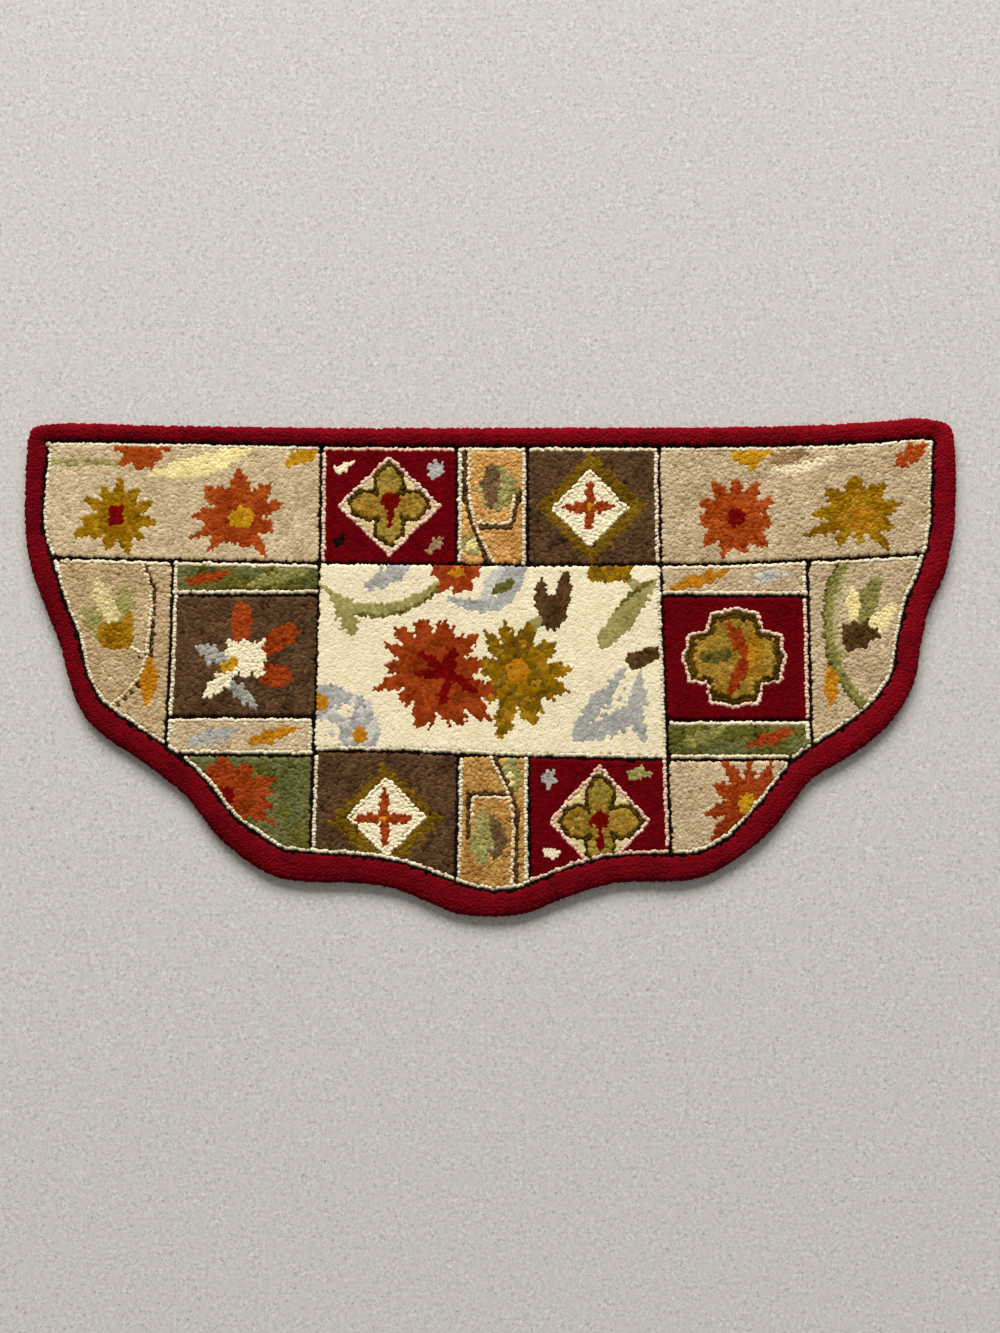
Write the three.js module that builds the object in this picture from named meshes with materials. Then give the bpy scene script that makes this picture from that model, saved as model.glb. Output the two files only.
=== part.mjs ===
// Hooked wool hearth rug: a straight back edge, and a front cut as a scalloped half round.
// Its yarn is pulled through one cloth, so it is one flat solid, with the pile on top.
// Millimetres, +Z up. +X runs along the back edge and +Y points to it. The origin is on
// the floor, under the middle of the rug's box.
import * as THREE from "three";
import { mergeVertices } from "three/addons/utils/BufferGeometryUtils.js";

// Driving dimensions
const LENGTH = 1170;
const DEPTH = 626;
const FIELD_HEIGHT = 9.2;
const BORDER_CROWN = 11;
const BORDER_SIDE = 5;
const FOUNDATION = 1.8;
const SUNK_ROW = 8.3;
const FIELD_UNEVENNESS = 0.5;
const BORDER_UNEVENNESS = 0.35;

// How finely the outline and the field are divided
const STEPS_PER_STATION = 5;
const FIELD_RINGS = [0.97, 0.85, 0.65, 0.42, 0.2];
const FIELD_WAVES = 5;
const BORDER_WAVES = 23;

// The rug's edge, from the middle of the front round to the middle of the back. Each row
// has the same place on both sides: across is measured from the middle line, down from
// the furthest point of the back edge, and border is the width of the plain border there.
const EDGE_STATIONS = [
  { leftAcross: 43, leftDown: 622, leftBorder: 35, rightAcross: 43, rightDown: 622, rightBorder: 31 },
  { leftAcross: 76, leftDown: 609, leftBorder: 34, rightAcross: 85, rightDown: 606, rightBorder: 32 },
  { leftAcross: 114, leftDown: 593, leftBorder: 32, rightAcross: 124, rightDown: 592, rightBorder: 32 },
  { leftAcross: 155, leftDown: 585, leftBorder: 32, rightAcross: 164, rightDown: 583, rightBorder: 32 },
  { leftAcross: 237, leftDown: 582, leftBorder: 35, rightAcross: 245, rightDown: 581, rightBorder: 32 },
  { leftAcross: 276, leftDown: 574, leftBorder: 34, rightAcross: 279, rightDown: 571, rightBorder: 28 },
  { leftAcross: 315, leftDown: 550, leftBorder: 34, rightAcross: 320, rightDown: 546, rightBorder: 27 },
  { leftAcross: 347, leftDown: 521, leftBorder: 30, rightAcross: 352, rightDown: 519, rightBorder: 31 },
  { leftAcross: 381, leftDown: 477, leftBorder: 30, rightAcross: 377, rightDown: 487, rightBorder: 30 },
  { leftAcross: 417, leftDown: 447, leftBorder: 31, rightAcross: 405, rightDown: 452, rightBorder: 31 },
  { leftAcross: 447, leftDown: 425, leftBorder: 30, rightAcross: 434, rightDown: 435, rightBorder: 33 },
  { leftAcross: 481, leftDown: 403, leftBorder: 31, rightAcross: 471, rightDown: 411, rightBorder: 33 },
  { leftAcross: 512, leftDown: 372, leftBorder: 26, rightAcross: 505, rightDown: 380, rightBorder: 32 },
  { leftAcross: 531, leftDown: 326, leftBorder: 22, rightAcross: 533, rightDown: 331, rightBorder: 28 },
  { leftAcross: 541, leftDown: 286, leftBorder: 23, rightAcross: 541, rightDown: 286, rightBorder: 28 },
  { leftAcross: 558, leftDown: 241, leftBorder: 23, rightAcross: 551, rightDown: 241, rightBorder: 28 },
  { leftAcross: 577, leftDown: 190, leftBorder: 26, rightAcross: 572, rightDown: 193, rightBorder: 29 },
  { leftAcross: 585, leftDown: 140, leftBorder: 21, rightAcross: 583, rightDown: 140, rightBorder: 28 },
  { leftAcross: 585, leftDown: 90, leftBorder: 22, rightAcross: 585, rightDown: 90, rightBorder: 28 },
  { leftAcross: 582, leftDown: 33, leftBorder: 23, rightAcross: 584, rightDown: 37, rightBorder: 26 },
  { leftAcross: 577, leftDown: 13, leftBorder: 23, rightAcross: 577, rightDown: 9, rightBorder: 26 },
  { leftAcross: 546, leftDown: 7, leftBorder: 21, rightAcross: 544, rightDown: 0, rightBorder: 24 },
  { leftAcross: 428, leftDown: 9, leftBorder: 20, rightAcross: 490, rightDown: 4, rightBorder: 24 },
  { leftAcross: 214, leftDown: 12, leftBorder: 21, rightAcross: 364, rightDown: 10, rightBorder: 23 },
];
const FRONT_MIDDLE = { across: 2, down: 626, border: 31 };
const BACK_MIDDLE = { across: 12, down: 12, border: 22 };

// The border's section. Share runs from the outer edge, 0, to the dark row along the
// field, 1. The pile leans out over the foundation's turned edge, and is crowned.
const BORDER_SECTION = [
  { share: 0.1, height: 0 },
  { share: 0.03, height: FOUNDATION },
  { share: 0, height: BORDER_SIDE },
  { share: 0.035, height: BORDER_CROWN - 2.6 },
  { share: 0.13, height: BORDER_CROWN - 0.8 },
  { share: 0.36, height: BORDER_CROWN },
  { share: 0.66, height: BORDER_CROWN - 0.4 },
  { share: 0.88, height: BORDER_CROWN - 1.5 },
  { share: 1, height: SUNK_ROW },
];

// All stations in order, anticlockwise seen from above, as points from the middle of the
// back edge
function stationsInOrder() {
  const right = EDGE_STATIONS.map((row) => ({
    point: new THREE.Vector3(row.rightAcross, -row.rightDown, 0),
    border: row.rightBorder,
  }));
  const left = EDGE_STATIONS.map((row) => ({
    point: new THREE.Vector3(-row.leftAcross, -row.leftDown, 0),
    border: row.leftBorder,
  }));
  const middle = (row) => ({
    point: new THREE.Vector3(row.across, -row.down, 0),
    border: row.border,
  });
  return [middle(FRONT_MIDDLE), ...right, middle(BACK_MIDDLE), ...left.reverse()];
}

// The inner edge of the border: each station moved in square to the edge
function innerStations(stations, outer) {
  const up = new THREE.Vector3(0, 0, 1);
  return stations.map((station, index) => {
    const along = outer.getTangent(index / stations.length);
    const inward = new THREE.Vector3().crossVectors(up, along);
    return station.point.clone().addScaledVector(inward, station.border);
  });
}

// The curve's points, stretched to the driving length and depth and centred on the origin
function fitted(points, box) {
  const size = box.getSize(new THREE.Vector3());
  const middle = box.getCenter(new THREE.Vector3());
  return points.map((point) => new THREE.Vector2(
    ((point.x - middle.x) * LENGTH) / size.x,
    ((point.y - middle.y) * DEPTH) / size.y,
  ));
}

// A slow unevenness of hand-pulled loops, between -1 and 1
function unevenness(x, y) {
  const across = (FIELD_WAVES * Math.PI * x) / LENGTH;
  const down = (FIELD_WAVES * Math.PI * y) / DEPTH;
  return Math.sin(across + Math.sin(down)) * Math.cos(down);
}

function rugGeometry() {
  const stations = stationsInOrder();
  const outerCurve = new THREE.CatmullRomCurve3(
    stations.map((station) => station.point), true, "centripetal");
  const innerCurve = new THREE.CatmullRomCurve3(
    innerStations(stations, outerCurve), true, "centripetal");
  const steps = stations.length * STEPS_PER_STATION;
  const outerPoints = outerCurve.getPoints(steps).slice(0, steps);
  const innerPoints = innerCurve.getPoints(steps).slice(0, steps);
  const box = new THREE.Box3().setFromPoints(outerPoints);
  const outer = fitted(outerPoints, box);
  const inner = fitted(innerPoints, box);

  const rings = BORDER_SECTION.map((row) => outer.map((edge, index) => {
    const point = edge.clone().lerp(inner[index], row.share);
    const wave = Math.sin((2 * Math.PI * BORDER_WAVES * index) / steps);
    const crown = row.height > BORDER_SIDE ? BORDER_UNEVENNESS * wave : 0;
    return new THREE.Vector3(point.x, point.y, row.height + crown);
  }));
  FIELD_RINGS.forEach((share) => {
    rings.push(inner.map((edge) => {
      const x = edge.x * share;
      const y = edge.y * share;
      const height = FIELD_HEIGHT + FIELD_UNEVENNESS * unevenness(x, y);
      return new THREE.Vector3(x, y, height);
    }));
  });

  const positions = rings.flat().flatMap((point) => [point.x, point.y, point.z]);
  const indices = [];
  for (let ring = 0; ring < rings.length - 1; ring += 1) {
    for (let step = 0; step < steps; step += 1) {
      const next = (step + 1) % steps;
      const a = ring * steps + step;
      const b = ring * steps + next;
      const c = a + steps;
      const d = b + steps;
      indices.push(a, b, d, a, d, c);
    }
  }
  const lastRing = (rings.length - 1) * steps;
  const flat = (ring) => ring.map((point) => new THREE.Vector2(point.x, point.y));
  THREE.ShapeUtils.triangulateShape(flat(rings[0]), []).forEach(([a, b, c]) => {
    indices.push(c, b, a);
  });
  THREE.ShapeUtils.triangulateShape(flat(rings.at(-1)), []).forEach(([a, b, c]) => {
    indices.push(lastRing + a, lastRing + b, lastRing + c);
  });

  const geometry = new THREE.BufferGeometry();
  geometry.setAttribute("position", new THREE.Float32BufferAttribute(positions, 3));
  geometry.setIndex(indices);
  const merged = mergeVertices(geometry);
  merged.computeVertexNormals();
  return merged;
}

// Wool yarn: matt, with the border's deep red as its main colour
const wool = new THREE.MeshStandardMaterial({
  color: 0x7c0f1c,
  roughness: 0.95,
  metalness: 0,
});

const rug = new THREE.Mesh(rugGeometry(), wool);
rug.name = "hooked_rug";

const group = new THREE.Group();
group.add(rug);

export default group;
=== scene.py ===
import math

import bmesh
import bpy
import numpy as np
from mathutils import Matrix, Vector
from mathutils.bvhtree import BVHTree
from mathutils.kdtree import KDTree


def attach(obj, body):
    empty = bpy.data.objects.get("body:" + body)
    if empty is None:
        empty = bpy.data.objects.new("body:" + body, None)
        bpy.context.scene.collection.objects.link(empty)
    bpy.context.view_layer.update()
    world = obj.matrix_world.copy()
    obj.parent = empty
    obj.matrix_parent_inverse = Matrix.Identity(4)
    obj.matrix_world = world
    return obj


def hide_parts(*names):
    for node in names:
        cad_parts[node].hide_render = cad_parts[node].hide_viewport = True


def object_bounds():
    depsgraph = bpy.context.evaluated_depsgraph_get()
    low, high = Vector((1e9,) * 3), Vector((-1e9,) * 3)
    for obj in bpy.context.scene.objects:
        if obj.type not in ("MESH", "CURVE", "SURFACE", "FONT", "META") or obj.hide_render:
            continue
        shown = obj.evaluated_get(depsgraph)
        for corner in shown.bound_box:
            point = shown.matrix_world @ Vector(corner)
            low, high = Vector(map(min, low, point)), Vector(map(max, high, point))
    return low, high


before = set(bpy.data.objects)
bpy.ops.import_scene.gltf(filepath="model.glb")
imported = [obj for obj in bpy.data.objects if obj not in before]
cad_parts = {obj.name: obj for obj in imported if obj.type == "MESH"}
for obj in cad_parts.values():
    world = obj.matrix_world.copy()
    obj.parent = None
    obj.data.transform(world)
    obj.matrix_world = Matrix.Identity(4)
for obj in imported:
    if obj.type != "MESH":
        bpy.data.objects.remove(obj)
cad_low, cad_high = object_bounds()

# Foundation cloth
# One piece of cotton monk's cloth, cut to the rug's outline, carries every loop. It lies
# flat on the floor and shows only from below, because the pile hides its turned edge.
MM = 0.001
CLOTH_THICKNESS = 1.7
THREAD_PITCH = 2.4
THREAD_RELIEF = 0.4
WELD = 0.01
COTTON_LIGHT = "#cdbb98"
COTTON_DARK = "#9c8763"
# A wave texture turns through this many radians in a metre, at a scale of one
WAVE_RADIANS = 20


def linear(hex_colour):
    """A six-digit sRGB hex colour as linear red, green, blue and alpha"""
    parts = [int(hex_colour[place:place + 2], 16) / 255 for place in (1, 3, 5)]
    lit = [part / 12.92 if part <= 0.04045 else ((part + 0.055) / 1.055) ** 2.4 for part in parts]
    return (*lit, 1.0)


def add_node(tree, kind, inputs, **settings):
    """A shader node with its settings, and with a value or a link for each named input"""
    node = tree.nodes.new("ShaderNode" + kind)
    for name, value in settings.items():
        setattr(node, name, value)
    sockets = {socket.identifier: socket for socket in node.inputs}
    for name, value in inputs.items():
        if isinstance(value, bpy.types.NodeSocket):
            tree.links.new(value, sockets[name])
        else:
            sockets[name].default_value = value
    return node


def empty_material(name):
    """A named material with no nodes yet, and its node tree"""
    material = bpy.data.materials.new(name)
    material.use_nodes = True
    material.node_tree.nodes.clear()
    return material, material.node_tree


def new_object(name, data):
    """A mesh, lamp or camera as an object of the scene"""
    made = bpy.data.objects.new(name, data)
    bpy.context.scene.collection.objects.link(made)
    return made


# Cotton monk's cloth, undyed and woven: the crossing threads give a fine, matt, knotted grid
woven_cotton, tree = empty_material("undyed_woven_cotton")
place = add_node(tree, "TexCoord", {})
threads = []
for direction in ("X", "Y"):
    wave = add_node(tree, "TexWave", {
        "Vector": place.outputs["Object"],
        "Scale": math.tau / (WAVE_RADIANS * THREAD_PITCH * MM),
        "Distortion": 1.2,
        "Detail": 2.0,
    }, wave_type="BANDS", bands_direction=direction)
    threads.append(wave.outputs["Fac"])
crossing = add_node(tree, "Math", {"Value": threads[0], "Value_001": threads[1]}, operation="MULTIPLY")
cotton_colour = add_node(tree, "Mix", {
    "Factor_Float": crossing.outputs[0],
    "A_Color": linear(COTTON_DARK),
    "B_Color": linear(COTTON_LIGHT),
}, data_type="RGBA")
thread_relief = add_node(tree, "Bump", {
    "Strength": 0.6,
    "Distance": THREAD_RELIEF * MM,
    "Height": crossing.outputs[0],
})
cotton = add_node(tree, "BsdfPrincipled", {
    "Base Color": cotton_colour.outputs[2],
    "Roughness": 0.92,
    "Specular IOR Level": 0.2,
    "Normal": thread_relief.outputs[0],
})
add_node(tree, "OutputMaterial", {"Surface": cotton.outputs[0]})

rug_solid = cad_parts["hooked_rug"]
cloth_form = bmesh.new()
cloth_form.from_mesh(rug_solid.data)
bmesh.ops.remove_doubles(cloth_form, verts=cloth_form.verts, dist=WELD * MM)
cloth_form.normal_update()
solid_surface = BVHTree.FromBMesh(cloth_form)
solid_corners = np.array([corner.co[:] for corner in cloth_form.verts]) / MM
solid_normals = np.array([corner.normal[:] for corner in cloth_form.verts])
solid_triangles = np.array([[corner.index for corner in face.verts] for face in cloth_form.faces])
cut = bmesh.ops.bisect_plane(
    cloth_form,
    geom=[*cloth_form.verts, *cloth_form.edges, *cloth_form.faces],
    plane_co=(0, 0, CLOTH_THICKNESS * MM),
    plane_no=(0, 0, 1),
    clear_outer=True,
)
rim = [part for part in cut["geom_cut"] if isinstance(part, bmesh.types.BMEdge)]
bmesh.ops.triangle_fill(cloth_form, use_beauty=True, edges=rim, normal=(0, 0, 1))
bmesh.ops.recalc_face_normals(cloth_form, faces=cloth_form.faces)
cloth_area = sum(face.calc_area() for face in cloth_form.faces if face.normal.z > 0.5)
cloth_mesh = bpy.data.meshes.new("foundation_cloth")
cloth_form.to_mesh(cloth_mesh)
cloth_form.free()
cloth_mesh.materials.append(woven_cotton)
foundation_cloth = new_object("foundation_cloth", cloth_mesh)
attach(foundation_cloth, "root")
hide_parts("hooked_rug")

# Black outline rows
# Single rows of black wool, hooked first and pulled a little lower than the rest. One runs
# inside the border, and the others divide the field into blocks. Places are in millimetres
# from the middle of the rug.
BORDER_SIDE = 5.0
GROOVE_TOP = 8.68
GROOVE_INSET = 15
BLACK_PITCH = 3.6
BLACK_LENGTH = 6.8
BLACK_WIDTH = 7.2
BLACK_TOP = 8.0
BLACK_WAVER = 0.3
BLACK_UNEVENNESS = 0.15
BLACK_LEAN = 0.1
BLACK_SIZE_SPREAD = 0.06
CROWN = 1.5
ROOT_FLARE = 1.3
ROOT_STRETCH = 3.6
ROOT_LOWEST = 0.4
FIBRE_CLUMP = 0.9
FIBRE_RELIEF = 0.25
STRAND_SPREAD = 0.22
DYE_CHANGE = 0.28
DYE_SWELL = 16
DYE_SEED = 3
TONE_LIMITS = (-0.25, 1.25)
LATTICE = 256
CELL_MARGIN = 0.08
CELL_RINGS = (0.5, 0.4, 0.2, 0.0)

# Each hand-dyed yarn: its darker and its lighter strands. The cream with red reflection is not a yarn of
# its own but cream with a painted reflection of the red wool beside it.
YARNS = {
    "black": ("#0d0705", "#21150f"),
    "border red": ("#58070f", "#7c0c17"),
    "red": ("#56040a", "#69060f"),
    "dark red": ("#5a0505", "#7c0c0c"),
    "outline cream": ("#c6b28b", "#ebdfc2"),
    "soft cream": ("#c9ae7c", "#ead6ac"),
    "cream with red reflection": ("#cda185", "#ebcdb2"),
    "cream": ("#e6d5ad", "#f3e6c2"),
    "beige": ("#b0966f", "#d8c29b"),
    "right beige": ("#a98f6a", "#d0b994"),
    "wing beige": ("#a3885f", "#cdb288"),
    "taupe": ("#3a2718", "#664a30"),
    "tan": ("#97652b", "#c89c57"),
    "strip green": ("#403a0f", "#716b2f"),
    "dark olive": ("#2f1e04", "#5a420f"),
    "moss": ("#4a4a1e", "#737143"),
    "rust": ("#762404", "#a4451a"),
    "olive gold": ("#6c4600", "#a0760e"),
    "olive yellow": ("#705c18", "#ad9140"),
    "gold": ("#a06c04", "#cd9520"),
    "ochre": ("#745514", "#b18a38"),
    "deep gold": ("#86590a", "#b08220"),
    "bronze": ("#553c08", "#826217"),
    "orange": ("#a06206", "#cc8822"),
    "grey blue": ("#918f89", "#bbb6ab"),
    "slate": ("#827d74", "#aca79c"),
    "pale blue": ("#b7b3a8", "#d6d0c0"),
    "light green": ("#82773c", "#aba064"),
    "pale yellow": ("#dcc680", "#f3e3a4"),
    "brown": ("#392510", "#614628"),
    "light taupe": ("#826340", "#a6855c"),
    "brown rust": ("#672206", "#8c3a14"),
    "dark taupe": ("#553d24", "#7d6140"),
    "dark moss": ("#443e17", "#70632c"),
    "leaf green": ("#6f6934", "#98914f"),
    "bright rust": ("#852f08", "#b4531e"),
    "soft yellow": ("#c6b179", "#e2d198"),
    "light tan": ("#ab7235", "#dfae66"),
    "faded green": ("#958a58", "#b8ad7c"),
    "light beige": ("#d6c197", "#efdfbb"),
}

# The rows between the blocks. Those across are given from left to right, and those down
# from the back to the front.
ROWS_ACROSS = {
    "back": [(-570, 139), (-401, 135), (-215, 131), (50, 128), (289, 130), (464, 138), (570, 144)],
    "front": [(-420, -110), (-226, -112), (-215, -106), (-111, -107), (26, -113), (203, -117),
              (420, -117)],
    "left strip back": [(-400, 90), (-217, 90)],
    "left strip front": [(-406, -62), (-221, -62)],
    "right strip back": [(220, 89), (400, 89)],
    "right strip front": [(222, -66), (404, -66)],
}
ROWS_DOWN = {
    "left": [(-213, 300), (-215, 131), (-220, -41), (-225, -152), (-228, -260)],
    "right": [(212, 300), (215, 133), (221, -41), (225, -159), (229, -260)],
    "left wing": [(-400, 134), (-403, 9), (-410, -110)],
    "right wing": [(399, 135), (402, 9), (405, -110)],
    "back tan left": [(-43, 300), (-43, 130)],
    "back tan right": [(47, 300), (47, 129)],
    "front tan left": [(-41, -110), (-45, -300)],
    "front tan right": [(49, -114), (50, -300)],
}
rng = np.random.default_rng(7)


def round_the_rug(corners):
    """The given corners as places on the floor, in order round the rug's middle"""
    return corners[np.argsort(np.arctan2(corners[:, 1], corners[:, 0]))][:, :2]


def points_tree(places):
    """The places as a tree that finds the nearest one"""
    found = KDTree(len(places))
    for number, (x, y) in enumerate(places):
        found.insert((x, y, 0), number)
    found.balance()
    return found


def distances(tree_of_points, places):
    """How far each place is from the nearest point of a tree"""
    return np.array([tree_of_points.find((x, y, 0))[2] for x, y in places])


def spaced_along(line, pitch):
    """Evenly spaced places along a line, and the line's direction at each"""
    steps = np.diff(line, axis=0)
    reached = np.concatenate([[0], np.cumsum(np.hypot(*steps.T))])
    wanted = np.arange(pitch / 2, reached[-1], pitch)
    places = np.column_stack([np.interp(wanted, reached, line[:, axis]) for axis in (0, 1)])
    segment = np.clip(np.searchsorted(reached, wanted) - 1, 0, len(steps) - 1)
    return places, steps[segment] / np.hypot(*steps[segment].T)[:, None]


def inside(outline, places):
    """Which of the places lie inside a closed outline"""
    x, y = places.T
    found = np.zeros(len(places), bool)
    for (ax, ay), (bx, by) in zip(outline, np.roll(outline, -1, axis=0)):
        if ay != by:
            found ^= ((ay > y) != (by > y)) & (x < (bx - ax) * (y - ay) / (by - ay) + ax)
    return found


def drift(places, size, seed):
    """Smooth random values from -1 to 1 across the rug, in swells of the given size"""
    lattice = np.random.default_rng(seed).uniform(-1, 1, (LATTICE, LATTICE))
    scaled = places / size + LATTICE / 2
    cell = np.floor(scaled).astype(int)
    share = scaled - cell
    across, down = (share * share * (3 - 2 * share)).T
    near = cell.T % (LATTICE - 1)
    far = near + 1
    first = lattice[near[0], near[1]] * (1 - across) + lattice[far[0], near[1]] * across
    second = lattice[near[0], far[1]] * (1 - across) + lattice[far[0], far[1]] * across
    return first * (1 - down) + second * down


def pile_height(places):
    """The height of the solid's upper face at each place"""
    down = Vector((0, 0, -1))
    hits = [solid_surface.ray_cast(Vector((x * MM, y * MM, 1)), down) for x, y in places]
    return np.array([hit[0].z if hit[0] else 0 for hit in hits]) / MM


def yarn_colours(yarn, places, spread=STRAND_SPREAD):
    """One colour for each loop: each strand's own shade, and slow changes in the dye"""
    dark, light = (np.array(linear(shade)) for shade in YARNS[yarn])
    tone = 0.5 + spread * rng.standard_normal(len(places))
    tone += DYE_CHANGE * drift(places, DYE_SWELL, DYE_SEED)
    return dark + np.clip(tone, *TONE_LIMITS)[:, None] * (light - dark)


# One loop of yarn, seen from above as a grain with a round crown. Its sides spread as they
# run down to the foundation, so that packed loops leave shallow creases and no holes. Its
# faces have a place of their own in one cell of the bake map.
loop_form = bmesh.new()
bmesh.ops.create_icosphere(loop_form, subdivisions=1, radius=1)
lower_half = [corner for corner in loop_form.verts if corner.co.z < 0]
bmesh.ops.scale(loop_form, vec=(ROOT_FLARE, ROOT_FLARE, ROOT_STRETCH), verts=lower_half)
loop_corners = np.array([corner.co[:] for corner in loop_form.verts])
loop_faces = np.array([[corner.index for corner in face.verts] for face in loop_form.faces])
loop_form.free()
loop_heights = np.unique(loop_corners[:, 2].round(4))
cell_places = np.zeros((len(loop_faces), 3, 2))
for number, face in enumerate(loop_faces):
    sideways = loop_corners[face][:, :2]
    at_pole = np.hypot(*sideways.T) < 0.01
    sideways[at_pole] = sideways[~at_pole].sum(axis=0)
    sideways /= np.hypot(*sideways.T)[:, None]
    radius = np.interp(loop_corners[face][:, 2], loop_heights, CELL_RINGS)
    cell_places[number] = 0.5 + sideways * radius[:, None]


def plant_loops(name, tops, along, upright, sizes, colours, material, shape=loop_corners):
    """Loops of yarn joined as one piece. Each has the place of its crown, the way its length
    lies, the way it stands, its half length, half width and crown height, and its colour."""
    across = np.cross(upright, along)
    across /= np.linalg.norm(across, axis=1)[:, None]
    axes = np.stack([np.cross(across, upright), across, upright], axis=1)
    middles = tops - upright * sizes[:, 2:]
    corners = middles[:, None] + np.einsum("nk,vk,nkj->nvj", sizes, shape, axes)
    corners[:, :, 2] = np.maximum(corners[:, :, 2], ROOT_LOWEST)
    count = len(tops)
    faces = loop_faces[None] + len(loop_corners) * np.arange(count)[:, None, None]
    mesh = bpy.data.meshes.new(name)
    mesh.vertices.add(count * len(loop_corners))
    mesh.vertices.foreach_set("co", (corners * MM).astype(np.float32).ravel())
    mesh.loops.add(faces.size)
    mesh.loops.foreach_set("vertex_index", faces.astype(np.int32).ravel())
    mesh.polygons.add(faces.size // 3)
    mesh.polygons.foreach_set("loop_start", np.arange(0, faces.size, 3, dtype=np.int32))
    mesh.update(calc_edges=True)
    mesh.shade_smooth()
    dye = mesh.color_attributes.new("yarn", "FLOAT_COLOR", "POINT")
    corner_colours = np.repeat(colours, len(loop_corners), axis=0)
    dye.data.foreach_set("color", corner_colours.astype(np.float32).ravel())
    cells_across = math.ceil(math.sqrt(count))
    cells = np.column_stack(np.divmod(np.arange(count), cells_across))[:, None, None]
    spots = (cells + CELL_MARGIN + (1 - 2 * CELL_MARGIN) * cell_places[None]) / cells_across
    bake_map = mesh.uv_layers.new(name="OFBake")
    bake_map.data.foreach_set("uv", spots.astype(np.float32).ravel())
    mesh.materials.append(material)
    piece = new_object(name, mesh)
    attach(piece, "root")


def standing(places, lean):
    """Upright directions, each leaning a little its own way"""
    tilt = rng.normal(0, lean, (len(places), 2))
    upright = np.column_stack([tilt, np.ones(len(places))])
    return upright / np.linalg.norm(upright, axis=1)[:, None]


def level(directions):
    """Directions on the floor as directions in space"""
    return np.column_stack([directions, np.zeros(len(directions))])


def wool_material(name, clump, fineness, contrast, strength, relief, finish):
    """Wool in each loop's own yarn colour, with a fine shade and relief of its fibres. Clump
    and relief are in millimetres, and finish has the surface's own settings."""
    material, tree = empty_material(name)
    place = add_node(tree, "TexCoord", {})
    dye = add_node(tree, "Attribute", {}, attribute_name="yarn")
    fibres = add_node(tree, "TexNoise", {
        "Vector": place.outputs["Object"],
        "Scale": 1 / (clump * MM),
        "Detail": 3.0,
        "Roughness": fineness,
    })
    fibre_shade = add_node(tree, "MapRange", {
        "Value": fibres.outputs[0],
        "From Min": 0.3,
        "From Max": 0.7,
        "To Min": 1 - contrast,
        "To Max": 1 + contrast,
    })
    wool_colour = add_node(tree, "Mix", {
        "Factor_Float": 1.0,
        "A_Color": dye.outputs["Color"],
        "B_Color": fibre_shade.outputs[0],
    }, data_type="RGBA", blend_type="MULTIPLY")
    fibre_relief = add_node(tree, "Bump", {
        "Strength": strength,
        "Distance": relief * MM,
        "Height": fibres.outputs[0],
    })
    wool = add_node(tree, "BsdfPrincipled", {
        "Base Color": wool_colour.outputs[2],
        "Specular IOR Level": 0.0,
        "Normal": fibre_relief.outputs[0],
        **finish,
    })
    add_node(tree, "OutputMaterial", {"Surface": wool.outputs[0]})
    return material


# Wool yarn, dyed in the hank and hooked in closed loops: quite matt, with no highlight, and
# a little uneven in colour along each strand. Single fibres are too fine to show, so they
# are drawn as clumps.
hooked_wool = wool_material(
    "hand_dyed_hooked_wool",
    clump=FIBRE_CLUMP,
    fineness=0.6,
    contrast=0.14,
    strength=0.5,
    relief=FIBRE_RELIEF,
    finish={"Roughness": 0.95},
)

# The solid's corners on the border's side give the rug's edge, and the low ones further in
# give the groove for the row inside the border
heights = solid_corners[:, 2]
edge_line = round_the_rug(solid_corners[np.abs(heights - BORDER_SIDE) < 2 * WELD])
to_edge = distances(points_tree(edge_line), solid_corners[:, :2])
in_groove = (to_edge > GROOVE_INSET) & (heights < GROOVE_TOP) & (heights > BORDER_SIDE)
groove_line = round_the_rug(solid_corners[in_groove])

black_places = []
black_ways = []
worked_lines = [np.vstack([groove_line, groove_line[:1]])]
worked_lines += [np.array(line, float) for line in (*ROWS_ACROSS.values(), *ROWS_DOWN.values())]
for number, line in enumerate(worked_lines):
    places, ways = spaced_along(line, BLACK_PITCH)
    wanted = inside(groove_line, places) if number else np.ones(len(places), bool)
    black_places.append(places[wanted])
    black_ways.append(ways[wanted])
black_places = np.vstack(black_places)
black_ways = np.vstack(black_ways)
black_places += rng.normal(0, BLACK_WAVER, black_places.shape)
black_tops = np.minimum(pile_height(black_places), BLACK_TOP)
black_tops += rng.normal(0, BLACK_UNEVENNESS, len(black_places))
half_size = np.array([BLACK_LENGTH / 2, BLACK_WIDTH / 2, CROWN])
plant_loops(
    "black_outline_rows",
    np.column_stack([black_places, black_tops]),
    level(black_ways),
    standing(black_places, BLACK_LEAN),
    half_size * rng.normal(1, BLACK_SIZE_SPREAD, (len(black_places), 1)),
    yarn_colours("black", black_places),
    hooked_wool,
)

# Cream outline rows
# Single rows of cream wool beside the black ones, hooked in high loops that stand like
# beads. One goes round the whole field, and the others along some sides of the blocks.
CREAM_PITCH = 3.7
CREAM_OFFSET = 5.0
CREAM_RISE = 0.5
CREAM_WAVER = 0.4
CREAM_CLEARANCE = 3.0
BEAD_LENGTH = 7.0
BEAD_WIDTH = 5.6
BEAD_TURN = 0.4
BEAD_LEAN = 0.14
BEAD_UNEVENNESS = 0.25
BEAD_SIZE_SPREAD = 0.12
LINE_REACH = 320
SCAN_STEP = 4.0

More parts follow.
